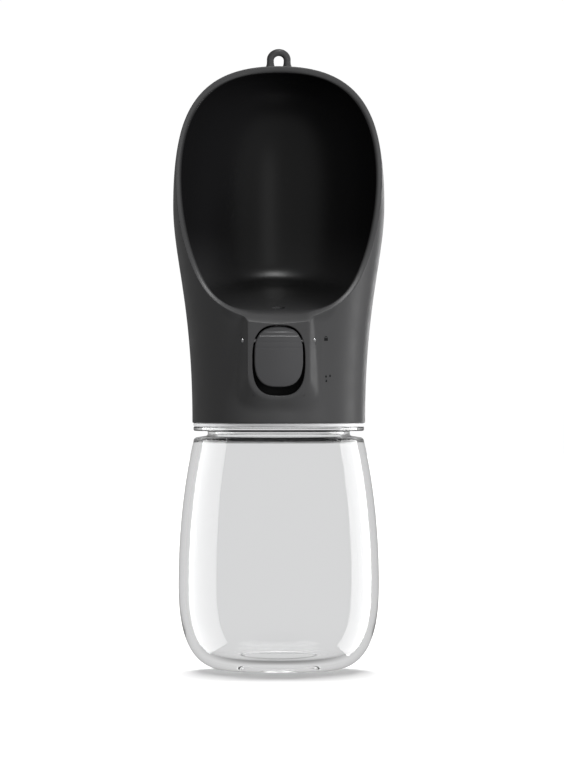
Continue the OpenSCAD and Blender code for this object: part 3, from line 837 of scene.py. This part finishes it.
keyShape = {
    "halfX": 8.1, "low": 12.2, "high": 32.2, "face": -31.4, "back": -29.9, "skirt": -28.9, "wall": 1.1,
    "edge": 0.45, "bevel": ((0, 1), (0.04, 0.72), (0.14, 0.38), (0.29, 0.12)),
    "ledges": (29.0, 30.25, 31.35), "stepDepth": 0.31, "chamfer": 0.44,
    "sunk": 0.16, "sunkFrom": 24.6, "sunkTo": 28.4,
    "grooves": (25.2, 27.1), "grooveDepth": 0.09, "grooveWidth": 0.35,
    "fineLow": 24.4, "fineHigh": 28.6, "fineStep": 0.21,
    "hookLow": 19.9, "hookHigh": 24.9, "hookIn": 5.8, "armIn": 6.9, "armOut": 8,
    "hookFront": -28.1, "hookBack": -27.2, "overlap": 0.2,
}


def makeKey():
    s = keyShape
    middle = (s["low"] + s["high"]) / 2
    half = (s["high"] - s["low"]) / 2
    face = s["face"]
    edge = s["edge"]
    steps = [(face + back, -share * edge) for back, share in s["bevel"]]
    steps += [(face + edge, 0), (s["skirt"], 0), (s["skirt"], -s["wall"]), (s["back"], -s["wall"])]
    key = ovalMesh(s["halfX"], half, middle, steps)
    # One flat face instead of the first fan of triangles
    hub = [v for v in key.verts if abs(v.co.y - face) < 1e-4 and abs(v.co.x) < 1e-4
           and abs(v.co.z - middle) < 1e-4]
    bmesh.ops.dissolve_verts(key, verts=hub)
    # Cuts across the face for its ledges and grooves, which then sink in
    cuts = list(np.arange(s["fineLow"], s["fineHigh"], s["fineStep"]))
    for ledge in s["ledges"]:
        cuts += [ledge, ledge + s["chamfer"]]
    for height in cuts:
        bmesh.ops.bisect_plane(key, geom=key.verts[:] + key.edges[:] + key.faces[:], dist=0.0001,
                               plane_co=(0, 0, height), plane_no=(0, 0, 1))
    for vert in key.verts:
        if vert.co.y < face + edge + 0.01:
            back = s["sunk"] * softStep(vert.co.z, s["sunkFrom"], s["sunkTo"])
            for ledge in s["ledges"]:
                back += s["stepDepth"] * (vert.co.z > ledge + 0.1)
            for groove in s["grooves"]:
                back += s["grooveDepth"] * math.exp(-((vert.co.z - groove) / s["grooveWidth"]) ** 2)
            vert.co.y += back

    def armBlock(side, start, front):
        low = start if side > 0 else -s["armOut"]
        high = s["armOut"] if side > 0 else -start
        return block((low, front, s["hookLow"]), (high, s["hookBack"], s["hookHigh"]))

    # Arms with hooks, which hold the key on the rocker
    for side in (-1, 1):
        arm = armBlock(side, s["armIn"], s["back"] - s["overlap"])
        hook = armBlock(side, s["hookIn"], s["hookFront"])
        key = combined(key, combined(arm, hook, "UNION"), "UNION")
    bmesh.ops.translate(key, vec=(0, 0, collarZ), verts=key.verts)
    finishPiece("thumbKey", key, "key", looks["key_plastic"], ["key_cap"], sharp=34)


pinBevel = 0.25


def makePin():
    low, high = (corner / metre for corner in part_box("pivot_pin"))
    radius = (high.z - low.z) / 2
    length = high.x
    profile = [(0, -length), (radius - pinBevel, -length), (radius, -length + pinBevel), (radius, 0),
               (radius, length - pinBevel), (radius - pinBevel, length), (0, length)]
    mesh = wovenMesh(turnedTable(profile, 40))
    turnToX(mesh)
    bmesh.ops.translate(mesh, vec=(0, (low.y + high.y) / 2, (low.z + high.z) / 2), verts=mesh.verts)
    finishPiece("hingePin", mesh, "head", looks["spring_steel"], ["pivot_pin"], sharp=40)


markShape = {
    "x": 15.8, "raised": 0.07, "sunk": 0.3,
    "lockH": 28.1, "lockHalf": 0.6, "lockLow": -0.5, "lockHigh": 0.4,
    "shackleH": 0.65, "shackleFoot": 0.35, "shackleOuter": 0.44, "shackleInner": 0.24,
    "dropH": 15.0, "drops": ((0, 0.75), (1.35, 0.95), (0.1, -0.75)), "dropRadius": 0.3, "dropLow": 0.12,
    "dropTip": 0.52,
}


# A thin printed mark from its outline, laid on the collar
def markPlate(outline):
    s = markShape
    mesh = bmesh.new()
    for x, z in outline:
        radius = np.interp(z, outerSide[:, 1], outerSide[:, 0])
        mesh.verts.new((x, -math.sqrt(radius ** 2 - x ** 2) - s["raised"], z))
    front = mesh.faces.new(mesh.verts[:])
    made = bmesh.ops.extrude_face_region(mesh, geom=[front])["geom"]
    back = [item for item in made if isinstance(item, bmesh.types.BMVert)]
    bmesh.ops.translate(mesh, vec=(0, s["raised"] + s["sunk"], 0), verts=back)
    return mesh


# A padlock above three drops
def makeMarks():
    s = markShape
    x = s["x"]
    low = s["lockH"] + s["lockLow"]
    high = s["lockH"] + s["lockHigh"]
    half = s["lockHalf"]
    plates = [markPlate([(x - half, low), (x + half, low), (x + half, high), (x - half, high)])]
    arch = (x, s["lockH"] + s["shackleH"])
    foot = s["lockH"] + s["shackleFoot"]
    outer = s["shackleOuter"]
    inner = s["shackleInner"]
    shackle = arcPoints(arch, outer, 0, 180, 12) + [(x - outer, foot), (x - inner, foot)]
    shackle += arcPoints(arch, inner, 180, 0, 10) + [(x + inner, foot), (x + outer, foot)]
    plates.append(markPlate(shackle))
    for right, up in s["drops"]:
        spot = (x + right, s["dropH"] + up - s["dropLow"])
        tip = (x + right, s["dropH"] + up + s["dropTip"])
        plates.append(markPlate(arcPoints(spot, s["dropRadius"], -215, 35, 14) + [tip]))
    marks = merged(*plates)
    bmesh.ops.translate(marks, vec=(0, 0, collarZ), verts=marks.verts)
    finishPiece("functionMarks", marks, "head", looks["black_acetal"], sharp=20)


capShape = {
    "radius": headShape["capRadius"], "wall": 1.3, "low": 0.5, "deckLow": 6.4, "deckTop": 8.0,
    "round": 0.3, "innerRound": 0.25,
    "inletY": -1.31, "inletRadius": 3.05, "seatRadius": 4.4, "seatDepth": 1.1,
    "ridge": 0.8, "ridgeStep": 0.18, "ridgeEnds": (0.4, 0.3), "underDeck": 0.9, "columns": 144,
}


def makeCap():
    s = capShape
    inner = s["radius"] - s["wall"]
    middle = 12
    outer = s["radius"]
    profile = [(0, s["deckTop"]), (middle, s["deckTop"]), (outer - s["round"], s["deckTop"]),
               (outer, s["deckTop"] - s["round"]), (outer, 4), (outer, s["low"] + s["round"]),
               (outer - s["round"], s["low"]), (inner + s["innerRound"], s["low"]),
               (inner, s["low"] + s["innerRound"])]
    overEdge, underDeck = s["ridgeEnds"]
    profile += [(inner, z) for z in np.arange(s["low"] + overEdge, s["deckLow"] - underDeck, s["ridgeStep"])]
    profile += [(inner, s["deckLow"]), (middle, s["deckLow"]), (0, s["deckLow"])]
    table = turnedTable(profile, s["columns"])
    onSkirt = np.abs(np.array([p[0] for p in profile]) - inner) < 0.01
    angle = np.arctan2(table[:, :, 1], table[:, :, 0])
    # Half a pitch away from the neck's thread, so that each ridge lies between the other's turns
    low = bottleShape["flangeHigh"] + threadShape["aboveFlange"]
    high = collarZ + s["deckLow"] - s["underDeck"]
    rise = threadHeight(table[:, :, 2] + collarZ, angle, low, high, s["ridge"], 0.5)
    rise = rise * onSkirt[:, None]
    table[:, :, 0] -= rise * np.cos(angle)
    table[:, :, 1] -= rise * np.sin(angle)
    cap = wovenMesh(table)
    through = 10  # more than the deck is thick
    hole = drill(s["inletRadius"], through, "Z", (0, s["inletY"], s["deckLow"]))
    seatLength = 4
    seatH = s["deckTop"] - s["seatDepth"] + seatLength / 2
    seat = drill(s["seatRadius"], seatLength, "Z", (0, s["inletY"], seatH))
    cap = combined(cap, combined(hole, seat, "UNION"), "DIFFERENCE")
    bmesh.ops.translate(cap, vec=(0, 0, collarZ), verts=cap.verts)
    finishPiece("innerCap", cap, "head", looks["charcoal_cap"], ["inner_cap"], sharp=36)


makeBottle()
makeSeals()
makeHead()
makeEye()
makeKey()
makePin()
makeMarks()
makeCap()

# Floor, world, lights and camera
floorShape = {"radius": 6, "tone": (0.9, 0.9, 0.9), "rough": 0.7, "specular": 0.1}


def makeFloor():
    s = floorShape
    disc = bmesh.new()
    bmesh.ops.create_circle(disc, cap_ends=True, segments=96, radius=s["radius"])
    data = bpy.data.meshes.new("studioFloor")
    disc.to_mesh(data)
    disc.free()
    floor = bpy.data.objects.new("studioFloor", data)
    scene.collection.objects.link(floor)
    material, tree, shader = newMaterial("paleFloor")
    shader.inputs["Base Color"].default_value = (*s["tone"], 1)
    shader.inputs["Roughness"].default_value = s["rough"]
    shader.inputs["Specular IOR Level"].default_value = s["specular"]
    data.materials.append(material)
    # It isn't seen by bounced light, so that it doesn't brighten the dark head
    floor.visible_diffuse = False
    floor.visible_glossy = False
    floor.visible_transmission = False
    return floor


# White behind the object, dim all round it, and a little less than white through the bottle
worldTones = {
    "around": 0.24, "behind": 1.02, "through": 0.7, "below": 0.25, "fullyBelow": -0.8, "barelyBelow": -0.3,
}


# A world's tone that is one value or another by a share of 0 or 1
def toneMix(tree, share, first, second):
    mix = tree.nodes.new("ShaderNodeMix")
    for socket, value in (("Factor", share), ("A", first), ("B", second)):
        if isinstance(value, float):
            mix.inputs[socket].default_value = value
        else:
            tree.links.new(value, mix.inputs[socket])
    return mix.outputs["Result"]


def makeWorld():
    s = worldTones
    world = bpy.data.worlds.new("studio")
    scene.world = world
    world.use_nodes = True
    tree = world.node_tree
    backdrop = tree.nodes["Background"]
    backdrop.inputs["Color"].default_value = (1, 1, 1, 1)
    rays = tree.nodes.new("ShaderNodeLightPath")
    passed = tree.nodes.new("ShaderNodeMath")
    passed.operation = "GREATER_THAN"
    passed.inputs[1].default_value = 0.5
    tree.links.new(rays.outputs["Transmission Depth"], passed.inputs[0])
    direction = tree.nodes.new("ShaderNodeTexCoord")
    parts = tree.nodes.new("ShaderNodeSeparateXYZ")
    tree.links.new(direction.outputs["Generated"], parts.inputs[0])
    downward = tree.nodes.new("ShaderNodeMapRange")
    downward.interpolation_type = "SMOOTHSTEP"
    downward.inputs["From Min"].default_value = s["fullyBelow"]
    downward.inputs["From Max"].default_value = s["barelyBelow"]
    downward.inputs["To Min"].default_value = s["below"]
    downward.inputs["To Max"].default_value = s["through"]
    tree.links.new(parts.outputs["Z"], downward.inputs["Value"])
    unseen = toneMix(tree, passed.outputs[0], s["around"], downward.outputs["Result"])
    seen = toneMix(tree, rays.outputs["Is Camera Ray"], unseen, s["behind"])
    tree.links.new(seen, backdrop.inputs["Strength"])


# A light that shines on its receivers alone, and is shadowed by its blockers alone where there are any
def addLamp(name, kind, energy, receivers, blockers=()):
    data = bpy.data.lights.new(name, kind)
    data.energy = energy
    lamp = bpy.data.objects.new(name, data)
    scene.collection.objects.link(lamp)
    for label, items in (("receiver", receivers), ("blocker", blockers)):
        if items:
            group = bpy.data.collections.new(name + label)
            for item in items:
                group.objects.link(item)
            setattr(lamp.light_linking, label + "_collection", group)
    return lamp


# Broad lights from far above, tilted towards the front; only the bottle casts the floor's shadow
sunShape = {
    "overhead": {"energy": 1.6, "angle": 50, "tilt": 14, "on": "object"},
    "shadowSun": {"energy": 6.2, "angle": 45, "tilt": 42, "on": "floor", "blockers": "clear"},
    "floorFill": {"energy": 0.7, "angle": 20, "tilt": 0, "on": "floor", "shadow": False},
}
# Soft boxes by azimuth from the camera towards the right and elevation, width and height, the height that
# they aim at, and what they can't be seen by; where nothing else is said they light the opaque pieces
boxDistance = 0.8
boxShape = {
    "keyBox": {"energy": 8.8, "at": (52, 6), "size": (0.25, 0.4), "aim": 0.14, "off": "glossy"},
    "fillBox": {"energy": 1.8, "at": (-30, 4), "size": (0.6, 0.6), "aim": 0.12, "off": "glossy"},
    "frontBox": {"energy": 0.2, "at": (12, 8), "size": (0.2, 0.7), "aim": 0.14, "off": "diffuse"},
    "edgeBox": {"energy": 0.6, "at": (158, 8), "size": (0.12, 0.6), "aim": 0.14},
    "sheenBox": {"energy": 0.7, "at": (109, 0), "size": (0.2, 0.6), "aim": 0.12, "off": "diffuse"},
    "topBox": {"energy": 1.8, "at": (8, 68), "size": (0.16, 0.3), "aim": 0.14, "off": "diffuse"},
    "leftStrip": {"energy": 21, "at": (-100, -5), "size": (0.74, 1.1), "aim": 0.05, "off": "transmission",
                  "on": "clear"},
    "rightStrip": {"energy": 18, "at": (111, -5), "size": (0.6, 1.1), "aim": 0.05, "off": "transmission",
                   "on": "clear"},
}


def makeLights(floor):
    things = [item for item in scene.objects if item.type == "MESH" and item is not floor]
    groups = {
        "floor": [floor],
        "object": things,
        "clear": [item for item in things if item.name in ("bottleShell", "flangeRing")],
        "solid": [item for item in things if item.name != "bottleShell"],
    }
    for name, s in sunShape.items():
        blockers = groups[s["blockers"]] if "blockers" in s else ()
        lamp = addLamp(name, "SUN", s["energy"], groups[s["on"]], blockers)
        lamp.data.angle = math.radians(s["angle"])
        lamp.rotation_euler = (math.radians(-s["tilt"]), 0, 0)
        lamp.visible_glossy = False
        lamp.data.use_shadow = s.get("shadow", True)
    for name, s in boxShape.items():
        lamp = addLamp(name, "AREA", s["energy"], groups[s.get("on", "solid")])
        lamp.data.shape = "RECTANGLE"
        lamp.data.size, lamp.data.size_y = s["size"]
        turn, lift = (math.radians(angle) for angle in s["at"])
        away = Vector((math.sin(turn) * math.cos(lift), -math.cos(turn) * math.cos(lift), math.sin(lift)))
        lamp.location = Vector((0, 0, s["aim"])) + boxDistance * away
        lamp.rotation_euler = (-away).to_track_quat("-Z", "Y").to_euler()
        if "off" in s:
            setattr(lamp, "visible_" + s["off"], False)


cameraShape = {"distance": 2.0, "height": 0.0967, "shift": 0.0011, "span": 0.2596, "sensor": 36}


def makeCamera():
    s = cameraShape
    data = bpy.data.cameras.new("camera")
    data.sensor_width = s["sensor"]
    data.lens = s["sensor"] * s["distance"] / s["span"]
    data.clip_start = 0.05
    data.clip_end = 30
    camera = bpy.data.objects.new("camera", data)
    scene.collection.objects.link(camera)
    camera.location = (s["shift"], -s["distance"], s["height"])
    camera.rotation_euler = (math.pi / 2, 0, 0)
    scene.camera = camera


studioFloor = makeFloor()
makeWorld()
makeLights(studioFloor)
makeCamera()
scene.view_settings.view_transform = "Standard"
# The bottle's thick corners carry light round many times
scene.cycles.max_bounces = 32
scene.cycles.glossy_bounces = 24
scene.cycles.transmission_bounces = 24
print("stage set")
